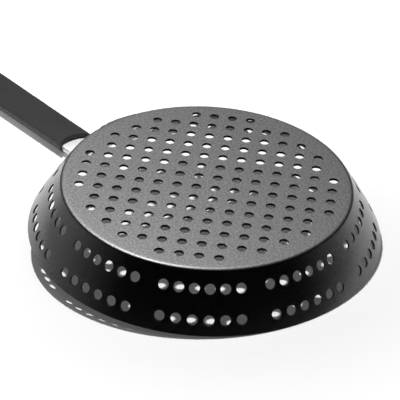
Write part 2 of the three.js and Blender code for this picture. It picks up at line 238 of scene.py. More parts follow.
up = np.array([0.0, 0.0, 1.0])
step = base_pitch / side_steps
lattice_top = pan.add(on_base(lattice[:, 0] * step, lattice[:, 1] * step, 0.0), up)
lattice_under = pan.add(on_base(lattice[:, 0] * step, lattice[:, 1] * step, sheet), -up)


def base_place(x, y, depth):
    """Places for one hole in each cell of the base."""
    middle_x, middle_y = cell_x[:, None] * base_pitch, cell_y[:, None] * base_pitch
    u = np.array([math.cos(grid_turn), math.sin(grid_turn), 0.0])
    v = np.array([-math.sin(grid_turn), math.cos(grid_turn), 0.0])
    return on_base(middle_x + x, middle_y + y, depth), u, v, up


hole_rings(pan, base_place, base_hole / 2, lattice_top[shared], lattice_under[shared], base_burr)

# The wall's grid has a column of patches for each hole, narrower columns between the groups, and a
# plain sector under the handle. Its columns lean from one ring's spacing to the other's.
group_columns = holes_in_group * side_steps
gap_columns = side_steps
plain_columns = 28


def column_azimuths(step):
    """Azimuths of the grid's columns for one ring of holes, from the first group's edge, once round."""
    middles = math.pi + (np.arange(wall_groups) - (wall_groups - 1) / 2) * group_pitch
    half = step * holes_in_group / 2
    columns = []
    for i, middle in enumerate(middles):
        columns.append(np.linspace(middle - half, middle + half, group_columns, endpoint=False))
        follows = middles[i + 1] - half if i + 1 < wall_groups else middles[0] - half + 2 * math.pi
        count = gap_columns if i + 1 < wall_groups else plain_columns
        columns.append(np.linspace(middle + half, follows, count, endpoint=False))
    return np.concatenate(columns)


# The grid's rows cross the corner's bend, closer together towards the wall, and then a patch for
# each ring of holes, with a few plain rows before, between and after the patches.
first_row = 110.3 * mm  # just outside the outermost cells of the base
corner_rows = 12
corner_crowding = 0.7  # a power: 1 would space them evenly
column_sets = [column_azimuths(step) for step in ring_step]
cell_tops = [down_sheet(along - cell_height / 2) for along in ring_along]
rows = np.concatenate([
    [first_row],
    first_row + (wall_top - first_row) * np.linspace(0, 1, corner_rows + 1)[1:] ** corner_crowding,
    np.linspace(wall_top, cell_tops[0], 4)[1:-1],
    cell_tops[0] + np.arange(side_steps + 1) * cell_height / side_steps,
    np.linspace(cell_tops[0] + cell_height, cell_tops[1], 6)[1:-1],
    cell_tops[1] + np.arange(side_steps + 1) * cell_height / side_steps,
    np.linspace(cell_tops[1] + cell_height, sheet_end - edge_round, 4)[1:],
])
cell_rows = [int(np.argmin(abs(rows - top))) for top in cell_tops]
lean = np.clip((rows - cell_tops[0] - cell_height) / (cell_tops[1] - cell_tops[0] - cell_height), 0, 1)
azimuths = (1 - lean)[:, None] * column_sets[0] + lean[:, None] * column_sets[1]


def wall_grid(depth, facing):
    """Adds every point of the wall's grid at one depth, with normals out of the sheet or into it."""
    r, z, normal_r, normal_z = on_sheet(rows[:, None], depth)
    return pan.add(around(r, z, azimuths), facing * around(normal_r, normal_z, azimuths))


wall_out = wall_grid(0.0, 1)
wall_in = wall_grid(sheet, -1)

# Columns and rows whose squares hold a hole are left open in the grid, and lined with rings.
hole_columns = np.concatenate([
    group * (group_columns + gap_columns) + np.arange(holes_in_group) * side_steps
    for group in range(wall_groups)
])
squares = np.ones((len(rows) - 1, azimuths.shape[1]), dtype=bool)
for top in cell_rows:
    for offset in range(side_steps):
        squares[top : top + side_steps, hole_columns + offset] = False
row, column = np.nonzero(squares)
beyond = (column + 1) % azimuths.shape[1]
pan.skin(wall_out[row, column], wall_out[row + 1, column], wall_out[row + 1, beyond], wall_out[row, beyond])
pan.skin(wall_in[row, column], wall_in[row, beyond], wall_in[row + 1, beyond], wall_in[row + 1, column])

for ring, top in enumerate(cell_rows):
    middle_row = top + np.rint((patch_u + 1) / 2 * side_steps).astype(int)
    middle_column = hole_columns[:, None] + np.rint((patch_v + 1) / 2 * side_steps).astype(int)
    middle_column = middle_column % azimuths.shape[1]
    hole_azimuth = column_sets[ring][hole_columns][:, None] + ring_step[ring] / 2

    def wall_place(x, y, depth):
        """Places for the holes of one ring: x runs down the wall, and y round it as an arc."""
        s = down_sheet(ring_along[ring]) + x
        r, z, normal_r, normal_z = on_sheet(s, depth)
        azimuth = hole_azimuth + y / on_sheet(s)[0]
        n = around(normal_r, normal_z, azimuth)
        u = around(normal_z, -normal_r, azimuth)
        v = around(0.0, 0.0, azimuth) + np.stack([-np.sin(azimuth), np.cos(azimuth), 0 * azimuth], axis=-1)
        return around(r, z, azimuth), u, v, n

    patch_rings = wall_out[middle_row, middle_column], wall_in[middle_row, middle_column]
    hole_rings(pan, wall_place, wall_hole / 2, *patch_rings)

# The rim's cut edge is flat between two small rounds.
cut = [around(*on_sheet(sheet_end, depth)[:2], azimuths[-1]) for depth in (edge_round, sheet - edge_round)]
cut_out, cut_in = [pan.add(points, -up) for points in cut]
pan.rings(cut_out, wall_out[-1])
pan.rings(cut_in, cut_out)
pan.rings(wall_in[-1], cut_in)


def stitch(inner, outer, inner_angles, outer_angles):
    """Triangles between two closed rings with different counts, both sorted by angle.

    Each side of a ring makes one triangle with the point of the other ring that is reached when
    the two rings are walked together, in the order of the sides' middle angles.
    """
    inner_middle = inner_angles + (np.roll(inner_angles, -1) - inner_angles) % (2 * math.pi) / 2
    outer_middle = outer_angles + (np.roll(outer_angles, -1) - outer_angles) % (2 * math.pi) / 2
    outer_at = np.searchsorted(outer_middle, inner_middle) % len(outer_angles)
    inner_at = np.searchsorted(inner_middle, outer_middle) % len(inner_angles)
    from_inner = np.stack([inner, outer[outer_at], np.roll(inner, -1)], axis=1)
    from_outer = np.stack([inner[inner_at], outer, np.roll(outer, -1)], axis=1)
    return np.concatenate([from_inner, from_outer])


# Between the stepped outline of the cells and the wall's grid, the base is filled with triangles.
# A side of a cell is on the outline when no other cell has it.
from_point, to_point = shared, np.roll(shared, -1, axis=1)
sides = np.stack([from_point.ravel(), to_point.ravel()], axis=1)
unique_sides, uses = np.unique(np.sort(sides, axis=1), axis=0, return_counts=True)
outline = np.unique(unique_sides[uses == 1])
flat = on_base(lattice[outline, 0] * step, lattice[outline, 1] * step, 0.0)
outline_angle = np.arctan2(flat[:, 1], flat[:, 0]) % (2 * math.pi)
order = np.argsort(outline_angle)
outline, outline_angle = outline[order], outline_angle[order]
ring_angle = azimuths[0] % (2 * math.pi)
order = np.argsort(ring_angle)
ring_angle = ring_angle[order]
top_fill = stitch(lattice_top[outline], wall_out[0][order], outline_angle, ring_angle)
under_fill = stitch(lattice_under[outline], wall_in[0][order], outline_angle, ring_angle)[:, ::-1]
pan.lids = np.concatenate([top_fill, under_fill]).tolist()

pan_body = piece("pan_sheet", pan.mesh("pan_sheet"))
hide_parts("pan_body")


class Value:
    """A varying measure of a finish, such as a grain or a height, which can be written in sums."""

    def __init__(self, shader, socket):
        self.shader, self.socket = shader, socket

    def math(self, operation, first, second):
        """The sum, difference or product of two values, or of a value and a number."""
        return self.shader.node("ShaderNodeMath", {"operation": operation}, {0: first, 1: second})

    def __add__(self, other):
        return self.math("ADD", self, other)

    def __radd__(self, other):
        return self.math("ADD", other, self)

    def __sub__(self, other):
        return self.math("SUBTRACT", self, other)

    def __rsub__(self, other):
        return self.math("SUBTRACT", other, self)

    def __mul__(self, other):
        return self.math("MULTIPLY", self, other)

    def __rmul__(self, other):
        return self.math("MULTIPLY", other, self)

    def above(self, low, high):
        """0 below low, 1 above high, and a straight rise between."""
        settings = {"interpolation_type": "LINEAR", "clamp": True}
        return self.shader.node("ShaderNodeMapRange", settings, {0: self, 1: low, 2: high, 3: 0.0, 4: 1.0})


class Shader:
    """One material's nodes. A node takes its settings first and then its sockets."""

    def __init__(self, name, tree=None):
        if tree is None:
            self.material = bpy.data.materials.new(name)
            self.material.use_nodes = True
            tree = self.material.node_tree
        self.tree = tree
        self.tree.nodes.clear()

    def node(self, kind, settings=None, sockets=None, output=0):
        """Adds a node and gives one of its outputs as a Value."""
        node = self.tree.nodes.new(kind)
        for key, value in (settings or {}).items():
            setattr(node, key, value)
        for key, value in (sockets or {}).items():
            if isinstance(value, Value):
                self.tree.links.new(value.socket, node.inputs[key])
            else:
                node.inputs[key].default_value = value
        return Value(self, node.outputs[output]) if len(node.outputs) else node

    def place(self):
        """Where a point of the piece lies, in metres in the part's own frame."""
        return self.node("ShaderNodeTexCoord", output=3)

    def noise(self, size, detail=2.0, roughness=0.5, stretch=(1, 1, 1)):
        """Noise whose features are about the given size in metres, from 0 to 1."""
        where = self.node("ShaderNodeMapping", {}, {"Vector": self.place(), "Scale": stretch})
        sockets = {"Vector": where, "Scale": 1 / size, "Detail": detail, "Roughness": roughness}
        return self.node("ShaderNodeTexNoise", {}, sockets)

    def tint(self, mask, low, high):
        """A colour between two colours by a mask."""
        settings = {"data_type": "RGBA", "clamp_factor": True}
        return self.node("ShaderNodeMix", settings, {0: mask, 6: (*low, 1), 7: (*high, 1)}, output=2)

    def bump(self, height, depth, strength=1.0):
        """Small relief of the given depth, by a height from 0 to 1."""
        return self.node("ShaderNodeBump", {}, {"Height": height, "Distance": depth, "Strength": strength})

    def finish(self, sockets):
        """Makes a surface from its measures and gives it back as a material."""
        surface = self.node("ShaderNodeBsdfPrincipled", {}, sockets)
        self.node("ShaderNodeOutputMaterial", {}, {"Surface": surface})
        return self.material


def coated_steel():
    """Charcoal non-stick coat with metal flake: grainy and dull on the base, smoother on the wall.

    The share of the base's finish rises with height through the corner's bend. The base's colour
    is painted lighter than the wall's, as painted light on the lit base, and a band of the bend has
    half the colour of the rest, as painted shade. The bores of the punched holes are marked on the
    mesh, and their colour is painted black as painted shade, with no metal and a rougher finish.
    """
    wall_tone = 0.115
    painted_base_light = 0.152  # painted light: how much lighter the lit base's colour is than the wall's
    # painted shade: the share of colour taken off in a band of the corner's bend
    bend_shade = 0.5
    relief = 0.03 * mm
    shader = Shader("dark non-stick coat")
    height = shader.node("ShaderNodeSeparateXYZ", {}, {"Vector": shader.place()}, output=2)
    base = height.above(-1.2 * mm, -0.1 * mm)
    # The marked bores of the holes are painted black, as painted shade, with no metal and a rougher finish.
    bore = shader.node("ShaderNodeAttribute", {"attribute_name": "mark"}, output=2)
    grain = shader.noise(0.9 * mm, 3.0, 0.7)
    flecks = shader.noise(1.6 * mm, 1.0).above(0.62, 0.7)
    coarse = shader.noise(1.8 * mm, 2.0, 0.6)
    clouds = shader.noise(38 * mm, 3.0)
    speckle = 0.75 + grain * 0.3 + (coarse - 0.5) * (0.4 + base * 1.2) + clouds * 0.1 + flecks * 0.2
    # Painted shade: a band through the corner's bend is darkened.
    corner = height.above(-1.8 * mm, -1.0 * mm) * (1 - height.above(-0.35 * mm, -0.05 * mm))
    # The lit base's colour is painted lighter than the wall's, as painted light.
    level = (wall_tone + base * painted_base_light) * speckle * (1 - corner * bend_shade) * (1 - bore)
    return shader.finish({
        "Base Color": shader.tint(level, (0, 0, 0), (1, 1, 1)),
        "Metallic": 1 - bore,
        "Roughness": 0.2 + base * 0.25 + bore * 0.4 + grain * 0.04,
        "Normal": shader.bump(grain + flecks * 0.4, relief, 0.6),
    })


pan_body.data.materials.append(coated_steel())

# Handle bracket: a 3 mm stainless strap, blanked with a broad pad that is pressed to the wall's
# curve and riveted there. It runs down past the rim, bends once and ends as a tang in the grip.
strap_width = 20 * mm
strap_thickness = 3 * mm
strap_bend = 10 * mm
strap_round = 0.6 * mm
pad_width = 42 * mm
pad_start = 8 * mm
pad_length = 30 * mm
pad_corner = 9 * mm
tang_length = 62 * mm
tang_corner = 3 * strap_round  # at the two sides of the tang's end
seat = 0.3 * mm  # between pieces that rest on each other
grip_reach = 194 * mm  # from the pan's axis to the middle of the grip's hollowed end
grip_drop = 62.1 * mm
grip_slope = math.radians(6.2)
grip_skin = 4.1 * mm  # of moulding between the grip's flat face and the guard
guard_width = 26 * mm
guard_height = 5.2 * mm

along_grip = np.array([math.cos(grip_slope), -math.sin(grip_slope)])
out_of_grip = np.array([math.sin(grip_slope), math.cos(grip_slope)])
strap_middle = -(grip_skin + guard_height / 2)
mouth = np.array([grip_reach, -grip_drop]) + out_of_grip * strap_middle


def cross(a, b):
    """The flat cross product of two arrows: both lengths times the sine of the turn from a to b."""
    return float(a[0] * b[1] - a[1] * b[0])


strap_start = np.array([base_radius, 0]) + out_of_wall * (seat + strap_thickness / 2)
knee_reach = cross(mouth - strap_start, along_grip) / cross(down_wall, along_grip)
knee = strap_start + down_wall * knee_reach
strap_turn = math.acos(float(down_wall @ along_grip))
bend_run = strap_bend * math.tan(strap_turn / 2)
bend_start = knee_reach - bend_run
bend_end = bend_start + strap_bend * strap_turn
knee_to_mouth = float(np.linalg.norm(mouth - knee))
strap_end = bend_end + knee_to_mouth - bend_run + tang_length


def strap_line(u):
    """Radius, height and outward normal on the strap's middle line, u being measured along it.

    Straight down the wall to the bend, round the bend at a steady rate, then straight along the grip.
    """
    turn = np.clip((u - bend_start) / strap_bend, 0, strap_turn)
    before = np.minimum(u, bend_start) - bend_start
    beyond = np.maximum(u - bend_end, 0)
    centre = strap_start + down_wall * bend_start + out_of_wall * strap_bend
    normal_r = out_of_wall[0] * np.cos(turn) - down_wall[0] * np.sin(turn)
    normal_z = out_of_wall[1] * np.cos(turn) - down_wall[1] * np.sin(turn)
    r = centre[0] - normal_r * strap_bend + down_wall[0] * before + along_grip[0] * beyond
    z = centre[1] - normal_z * strap_bend + down_wall[1] * before + along_grip[1] * beyond
    return r, z, normal_r, normal_z


def smooth_step(share):
    """A rise from 0 to 1 that starts and ends level: three squares less two cubes of the share."""
    share = np.clip(share, 0, 1)
    return share * share * (3 - 2 * share)


def round_off(distance, radius):
    """How much a corner of this radius takes off, at a distance from the end it rounds."""
    return radius * (1 - np.sqrt(1 - np.clip(1 - distance / radius, 0, 1) ** 2))


# The strap's section, once round: a share of its half width, the face it is on, and its normal
round_steps = 4  # round a quarter of each rounded edge
face_points = 25  # across each face
quarter = np.linspace(0, math.pi / 2, round_steps + 1)
across = np.linspace(1, -1, face_points)
edge = np.ones(2 * round_steps)
loop_turn = np.concatenate([
    np.full(face_points, math.pi / 2), quarter[1:] + math.pi / 2, quarter[:-1] + math.pi,
    np.full(face_points, 1.5 * math.pi), quarter[1:] + 1.5 * math.pi, quarter[:-1],
])
loop_share = np.concatenate([across, -edge, -across, edge])
half_loop = face_points + 2 * round_steps
loop_face = np.repeat([1.0, -1.0, 1.0], [face_points + round_steps, half_loop, round_steps])


def strap_rings(u):
    """Closed rings of the strap's section at each u.

    The half width follows the pad's corners and its shoulders to the plain strap. Both faces and
    edges end in rounds, also at the two ends. On the pad the section hugs the wall's circle.
    """
    r, z, normal_r, normal_z = [part[:, None] for part in strap_line(u)]
    shoulder = smooth_step((u - pad_start - pad_length + pad_corner) / (2 * pad_corner))
    half = pad_width / 2 + (strap_width - pad_width) / 2 * shoulder
    half = half - round_off(u - pad_start, pad_corner) - round_off(strap_end - u, tang_corner)
    squeeze = round_off(u - pad_start, strap_round) + round_off(strap_end - u, strap_round)
    y = loop_share * (half[:, None] - strap_round) + strap_round * np.cos(loop_turn)
    n = loop_face * (strap_thickness / 2 - strap_round) + strap_round * np.sin(loop_turn)
    n = n * (1 - squeeze[:, None] / (strap_thickness / 2))
    hug = 1 - shoulder[:, None]
    angle = y / r * hug
    radius = r + n * normal_r
    sideways = radius * np.sin(angle) + y * (1 - hug)
    return np.stack([radius * np.cos(angle), sideways, z + n * normal_z], axis=-1)


strap_u = np.unique(np.concatenate([
    pad_start + strap_round * (1 - np.cos(quarter)),
    pad_start + pad_corner * (1 - np.cos(np.linspace(0, math.pi / 2, 12))),
    np.linspace(pad_start + pad_corner, bend_start, 30),
    np.linspace(bend_start, bend_end, 16),
    np.linspace(bend_end, strap_end - tang_corner, 20),
    strap_end - tang_corner * (1 - np.sin(quarter)),
    strap_end - strap_round * (1 - np.sin(quarter)),
]))
strap = Patchwork()
strap_points = strap.add(strap_rings(strap_u))
strap.rings(strap_points[:-1], strap_points[1:])
strap.lids = [strap_points[0][::-1].tolist(), strap_points[-1].tolist()]
bracket = piece("bracket_strap", strap.mesh("bracket_strap"))
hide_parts("handle_bracket")


def bright_steel():
    """Polished stainless sheet: fine polishing lines along the handle and faint finger marks."""
    shader = Shader("polished stainless steel")
    lines = shader.noise(0.25 * mm, 2.0, 0.6, (0.02, 1, 1))
    marks = shader.noise(14 * mm, 3.0)
    return shader.finish({
        "Base Color": shader.tint(marks, (0.6, 0.6, 0.61), (0.72, 0.72, 0.73)),
        "Metallic": 1.0,
        "Roughness": 0.14 + lines * 0.1 + marks * 0.08,
        "Normal": shader.bump(lines, 0.01 * mm, 0.5),
    })


polished = bright_steel()
bracket.data.materials.append(polished)

# Rivets: three steel rivets through the wall and the pad, domed on the outside, with a flat head
# drawn up on the inside. One sits nearer the base in the middle and one at each side of the strap.
rivet_shank = 5 * mm
rivet_head = 9.2 * mm
rivet_head_height = 1.9 * mm
rivet_tail = 12 * mm
rivet_tail_height = 1.2 * mm
rivet_spread = 26 * mm
tail_round = 0.35 * mm
flange_round = 0.2 * mm
flange_share = 0.25  # of the domed head's height, below the dome
head_centre = 0.02 * mm  # radius of the small flat at the middle of either head
wall_flats = 56  # the flat head inside clears the bow of a wall with this many flats
# How far down the wall each rivet sits, and its share of the spread to one side
rivet_places = {"rivet_middle": (16 * mm, 0), "rivet_left": (25 * mm, -0.5), "rivet_right": (25 * mm, 0.5)}


def revolve(work, profile, frame_at, steps=40):
    """Turns a profile of (radius, height) about its own axis, and places it by a 4x4 frame."""
    profile = np.asarray(profile)
    angle = np.arange(steps) * 2 * math.pi / steps
    r, h = profile[:, :1], profile[:, 1:]
    points = np.stack([r * np.cos(angle), r * np.sin(angle), h + 0 * angle, 1 + 0 * r * angle], axis=-1)
    rings = work.add(points @ np.array(frame_at.transposed())[:, :3])
    work.rings(rings[:-1], rings[1:])
    work.lids += [rings[0][::-1].tolist(), rings[-1].tolist()]


def rivet_profile():
    """Half section from the inside: the flat head with round edges, the shank, and the dome."""
    wall_bow = rivet_tail / 2 * math.tan(math.pi / wall_flats)
    inside = -sheet - seat - wall_bow
    outside = strap_thickness + 2 * seat
    bottom = inside - rivet_tail_height
    tail = [
        (rivet_tail / 2 - tail_round * (1 - math.sin(t)), bottom + tail_round * (1 - math.cos(t)))
        for t in quarter
    ]
    dome_turn = np.linspace(0, math.pi / 2, 12)[:-1]
    low = rivet_head_height * flange_share
    rise = rivet_head_height - low
    dome = [(rivet_head / 2 * math.cos(t), outside + low + rise * math.sin(t)) for t in dome_turn]
    neck = [(rivet_tail / 2, inside), (rivet_shank / 2, inside), (rivet_shank / 2, outside)]
    flange = [(rivet_head / 2 - flange_round, outside), (rivet_head / 2, outside + flange_round)]
    start, end = (head_centre, bottom), (head_centre, outside + rivet_head_height)
    return [start, *tail, *neck, *flange, *dome, end]


def plated_steel():
    """Nickel plate on a pressed head: soft dents of the tool and a slightly dull face."""
    shader = Shader("plated steel")
    dents = shader.noise(1.8 * mm, 2.0)
    dull = shader.noise(5 * mm, 2.0)
    return shader.finish({
        "Base Color": shader.tint(dull, (0.46, 0.46, 0.47), (0.6, 0.6, 0.6)),
        "Metallic": 1.0,
        "Roughness": 0.24 + dull * 0.16,
        "Normal": shader.bump(dents, 0.08 * mm, 0.5),
    })


plated = plated_steel()
for name, (along, side_share) in rivet_places.items():
    place = np.array([base_radius, 0]) + down_wall * along
    lean = Matrix((
        (down_wall[0], 0, out_of_wall[0], place[0]),
        (0, 1, 0, 0),
        (down_wall[1], 0, out_of_wall[1], place[1]),
        (0, 0, 0, 1),
    ))
    work = Patchwork()
    turned = Matrix.Rotation(side_share * rivet_spread / place[0], 4, "Z") @ lean
    revolve(work, rivet_profile(), turned)
    rivet = piece(name + "_head", work.mesh(name + "_head"))
    rivet.data.materials.append(plated)
    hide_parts(name)

# Flame guard: a flat oval sleeve of satin stainless tube, with rounded lips, that slides over the
# strap and plugs into the hollow end of the grip, so that no flame reaches the moulding.
guard_neck = 2.5 * mm
guard_in_grip = 8 * mm
guard_sheet = (guard_height - strap_thickness) / 2 - seat
lip = 0.3 * mm  # radius of the round edges at both ends
guard_start = -knee_to_mouth + bend_run + guard_neck


def in_handle(x, y, z):
    """Points given along, across and out of the grip's flat face, moved to the part's own frame."""
    x, y, z = np.broadcast_arrays(x, y, z)
    far = grip_reach + x * along_grip[0] + z * out_of_grip[0]
    return np.stack([far, y, -grip_drop + x * along_grip[1] + z * out_of_grip[1]], axis=-1)


def oval(width, height, count=64):
    """A flat oval outline about its middle, as y, z and its normal, at steady turns of the normal.

    Two half circles of half the height, with their centres pulled apart to the two sides.
    """
    turn = (np.arange(count) + 0.5) * 2 * math.pi / count
    shift = (width - height) / 2 * np.sign(np.cos(turn))
    return shift + height / 2 * np.cos(turn), height / 2 * np.sin(turn), np.cos(turn), np.sin(turn)


# The sleeve's wall in section, once round: out along its outer face and back along its bore, with
# a rounded lip at each end
outer_y, outer_z, normal_y, normal_z = oval(guard_width, guard_height)
opening, closing = quarter[::-1], quarter
profile_x = np.concatenate([
    guard_start + lip - lip * np.sin(opening), guard_in_grip - lip + lip * np.sin(closing),
    guard_in_grip - lip + lip * np.sin(opening), guard_start + lip - lip * np.sin(closing),
])
profile_sink = np.concatenate([
    lip * (1 - np.cos(opening)), lip * (1 - np.cos(closing)),
    guard_sheet - lip * (1 - np.cos(opening)), guard_sheet - lip * (1 - np.cos(closing)),
])
sleeve = Patchwork()
sleeve_rings = sleeve.add(in_handle(
    profile_x[:, None], outer_y - profile_sink[:, None] * normal_y,
    strap_middle + outer_z - profile_sink[:, None] * normal_z,
))
sleeve.rings(sleeve_rings, np.roll(sleeve_rings, -1, axis=0))
guard = piece("guard_sleeve", sleeve.mesh("guard_sleeve"))


def satin_sheet():
    """Stainless tube with a satin finish that spreads the light: close grain and faint rubbing."""
    shader = Shader("satin sheet")
    grain = shader.noise(0.3 * mm, 2.0, 0.6, (0.1, 1, 1))
    rubbed = shader.noise(9 * mm, 3.0)
    return shader.finish({
        "Base Color": shader.tint(rubbed, (0.9, 0.9, 0.9), (0.97, 0.97, 0.97)),
        "Metallic": 1.0,
        "Roughness": 0.56 + grain * 0.08 + rubbed * 0.06,
        "Normal": shader.bump(grain, 0.01 * mm, 0.5),
    })


guard.data.materials.append(satin_sheet())
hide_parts("flame_guard")

# Grip: a compression moulding of black phenolic resin. One face is nearly flat with crisp edges,
# the other is rounded for the hand. Its pan end is hollowed out round the guard, and its free end
# has a hanging slot and the bore through which the tie screw is driven.
grip_length = 165 * mm
grip_width_start = 31.2 * mm
grip_width_end = 36.6 * mm
grip_depth_start = 12.2 * mm
grip_depth_waist = 11.2 * mm
grip_depth_end = 12 * mm
grip_waist = 100 * mm
grip_crown = 0.7 * mm
grip_end_flat = 0.4  # share of the width that is left at the free end
grip_end_lift = 0.2  # how much of the lost width the back also loses in depth
grip_end_round = 14 * mm
grip_mouth_radius = 24 * mm
grip_squareness = 3  # of the back's section: 2 would be an ellipse
grip_back_relief = 0.03 * mm  # keeps the smooth back inside the moulding's full depth
grip_edge = 0.8 * mm
grip_crease = 38  # in degrees: flatter edges than this are smooth
mouth_edge = 0.5 * mm
mouth_pull = 30 * mm  # how far along the grip the hollowed end draws its rings with it
end_swell = 0.05 * mm  # of the free end's middle
hang_hole_width = 10 * mm
hang_hole_length = 20 * mm
hang_hole_wall = 9 * mm


def grip_section(x):
    """Half width, depth and crown of the grip at a distance along it.

    The width grows and the depth dips to the waist in straight lines, and all three shrink into
    the free end along a part of an ellipse.
    """
    width = (grip_width_start + (grip_width_end - grip_width_start) * np.clip(x / grip_length, 0, 1)) / 2
    front = grip_depth_start + (grip_depth_waist - grip_depth_start) * np.clip(x / grip_waist, 0, 1)
    rear = np.clip((x - grip_waist) / (grip_length - grip_waist), 0, 1)
    depth = front + (grip_depth_end - grip_depth_waist) * rear
    into_end = np.clip(1 - (grip_length - x) / grip_end_round, 0, 1)
    share = np.sqrt(1 - (1 - grip_end_flat**2) * into_end**2)
    depth = depth * (1 - grip_end_lift * (1 - share)) - grip_back_relief
    return width * share, depth, grip_crown * share


def hollow(y):
    """Distance along the grip of its hollowed end, an upright circle, at a place across it."""
    return np.sqrt(grip_mouth_radius**2 - y**2) - grip_mouth_radius


# The grip's section, once round: the flat face, a round edge, the rounded back and the other edge
face_steps = np.linspace(-1, 1, 25)
edge_turn = np.linspace(0, math.pi / 2, 6)
back_turn = np.linspace(0, math.pi, 49)


def grip_outline(x):
    """The section's y and z at each x: a crowned face, edge rounds, and a superellipse for the back."""
    width, depth, crown = [part[:, None] for part in grip_section(x)]
    flat = width - grip_edge
    face_y = face_steps * flat
    face_z = crown * (1 - face_steps**2)
    right_y = flat + grip_edge * np.sin(edge_turn[1:])
    left_y = -flat - grip_edge * np.sin(edge_turn[::-1][:-1])
    right_z = grip_edge * (np.cos(edge_turn[1:]) - 1) + 0 * width
    left_z = grip_edge * (np.cos(edge_turn[::-1][:-1]) - 1) + 0 * width
    c, s = np.cos(back_turn[1:-1]), np.sin(back_turn[1:-1])
    back_y = width * np.sign(c) * np.abs(c) ** (2 / grip_squareness)
    back_z = -grip_edge - (depth - grip_edge) * s ** (2 / grip_squareness)
    y = np.concatenate([face_y, right_y, back_y, left_y], axis=1)
    z = np.concatenate([face_z, right_z, back_z, left_z], axis=1)
    return y, z


end_turn = np.linspace(0, math.pi / 2, 16)
straight_end = grip_length - grip_end_round
stations = np.unique(np.concatenate([
    np.linspace(0, straight_end, 60), straight_end + grip_end_round * np.sin(end_turn),
]))
shell_y, shell_z = grip_outline(stations)
# The first stations are pulled back to the hollowed end, and the pull fades out along the grip.
pull = np.clip(1 - stations / mouth_pull, 0, 1)[:, None]
shell_x = stations[:, None] + (hollow(shell_y) + mouth_edge) * pull
grip_body = Patchwork()
shell = grip_body.add(in_handle(shell_x, shell_y, shell_z))
grip_body.rings(shell[1:], shell[:-1])

# The free end is closed by rings that shrink to its middle and swell out by a hair: by the swell
# times one less the eighth power of the share that the ring has shrunk to.
end_shrink = np.array([0.985, 0.94, 0.8, 0.6, 0.35, 0.12])[:, None]
end_y, end_z = shell_y[-1], shell_z[-1]
middle_z = (end_z.max() + end_z.min()) / 2
end_rings = grip_body.add(in_handle(
    grip_length + end_swell * (1 - end_shrink**8),
    end_y * end_shrink,
    middle_z + (end_z - middle_z) * end_shrink,
))
grip_body.rings(end_rings, np.concatenate([shell[-1:], end_rings[:-1]]))
grip_body.lids.append(end_rings[-1][::-1].tolist())

# The hollowed end runs from the outline to the mouth of the guard's pocket, and the pocket is an
# oval hole with a flat bottom. Each ring of the end has its share of the way out from the pocket,
# and the first and last ones stand back by a share of the mouth's round edge.
face_shares = np.array([0.985, 0.93, 0.7, 0.45, 0.2, 0.03, 0.0])[:, None]
edge_shares = np.array([0.45, 0.08, 0, 0, 0, 0.02, 0.5])[:, None]
depth_shares = np.array([0.3, 0.98, 1.0])[:, None]
floor_shares = np.array([1.0, 1.0, 0.9])[:, None]
pocket_depth = guard_in_grip + seat
mouth_y, mouth_z = shell_y[0], shell_z[0] - strap_middle
spread = np.hypot(mouth_y, mouth_z)
c, s = mouth_y / spread, mouth_z / spread
pocket_half, pocket_side = guard_height / 2 + seat, (guard_width - guard_height) / 2
to_flat = pocket_half / np.maximum(np.abs(s), 1e-9)
to_round = pocket_side * np.abs(c) + np.sqrt(np.maximum(pocket_half**2 - (pocket_side * s) ** 2, 0))
to_pocket = np.where(to_flat * np.abs(c) <= pocket_side, to_flat, to_round)
pocket_y, pocket_z = to_pocket * c, to_pocket * s
face_y = pocket_y + (mouth_y - pocket_y) * face_shares
face_z = pocket_z + (mouth_z - pocket_z) * face_shares
face_x = hollow(face_y) + mouth_edge * edge_shares
pocket_x = depth_shares * pocket_depth
mouth_rings = grip_body.add(in_handle(
    np.concatenate([face_x, pocket_x + 0 * pocket_y]),
    np.concatenate([face_y, pocket_y * floor_shares]),
    strap_middle + np.concatenate([face_z, pocket_z * floor_shares]),
))
grip_body.rings(np.concatenate([shell[:1], mouth_rings[:-1]]), mouth_rings)
grip_body.lids.append(mouth_rings[-1].tolist())
grip_piece = piece("grip_moulding", grip_body.mesh("grip_moulding", grip_crease))


def cut_away(target, work, name, weld=0.01 * mm):
    """Takes a closed cutter out of a piece, for good, and merges points closer than the weld."""
    cutter = bpy.data.objects.new(name, work.mesh(name))
    bpy.context.scene.collection.objects.link(cutter)
    cut = target.modifiers.new(name, "BOOLEAN")
    cut.object, cut.operation, cut.solver = cutter, "DIFFERENCE", "EXACT"
    bpy.context.view_layer.update()
    result = bpy.data.meshes.new_from_object(target.evaluated_get(bpy.context.evaluated_depsgraph_get()))
    target.modifiers.remove(cut)
    target.data = result
    bpy.data.objects.remove(cutter)
    clean = bmesh.new()
    clean.from_mesh(result)
    bmesh.ops.remove_doubles(clean, verts=clean.verts, dist=weld)
    clean.to_mesh(result)
    clean.free()


# The hanging slot is cut by an oval column that flares out where it meets either face.
slot_middle = grip_length - hang_hole_wall - hang_hole_length / 2
slot_round = 1.2 * mm
slot_clear = 4 * mm  # how far the column stands out of either face
slot_splay = 2 * mm  # how much wider than the flare it is out there
back_rise = 0.25  # of the round, because the back falls away beside the slot
flare_turn = np.linspace(0, math.pi / 2, 6)
slot_z = np.concatenate([
    [slot_clear],
    grip_crown - slot_round * (1 - np.sin(flare_turn[::-1])),
    -grip_depth_end + slot_round * (1 + back_rise - np.sin(flare_turn)),
    [-grip_depth_end - slot_clear],
])
slot_flare = slot_round * (1 - np.cos(flare_turn))
slot_outside = [slot_round + slot_splay]
slot_grow = np.concatenate([slot_outside, slot_flare[::-1], slot_flare, slot_outside])
slot_x, slot_y, slot_nx, slot_ny = oval(hang_hole_length, hang_hole_width)
slot_cutter = Patchwork()
slot_rings = slot_cutter.add(in_handle(
    slot_middle + slot_x + slot_grow[:, None] * slot_nx,
    slot_y + slot_grow[:, None] * slot_ny,
    slot_z[:, None],
))
slot_cutter.rings(slot_rings[1:], slot_rings[:-1])
slot_cutter.lids = [slot_rings[0].tolist(), slot_rings[-1][::-1].tolist()]
cut_away(grip_piece, slot_cutter, "slot_cutter")

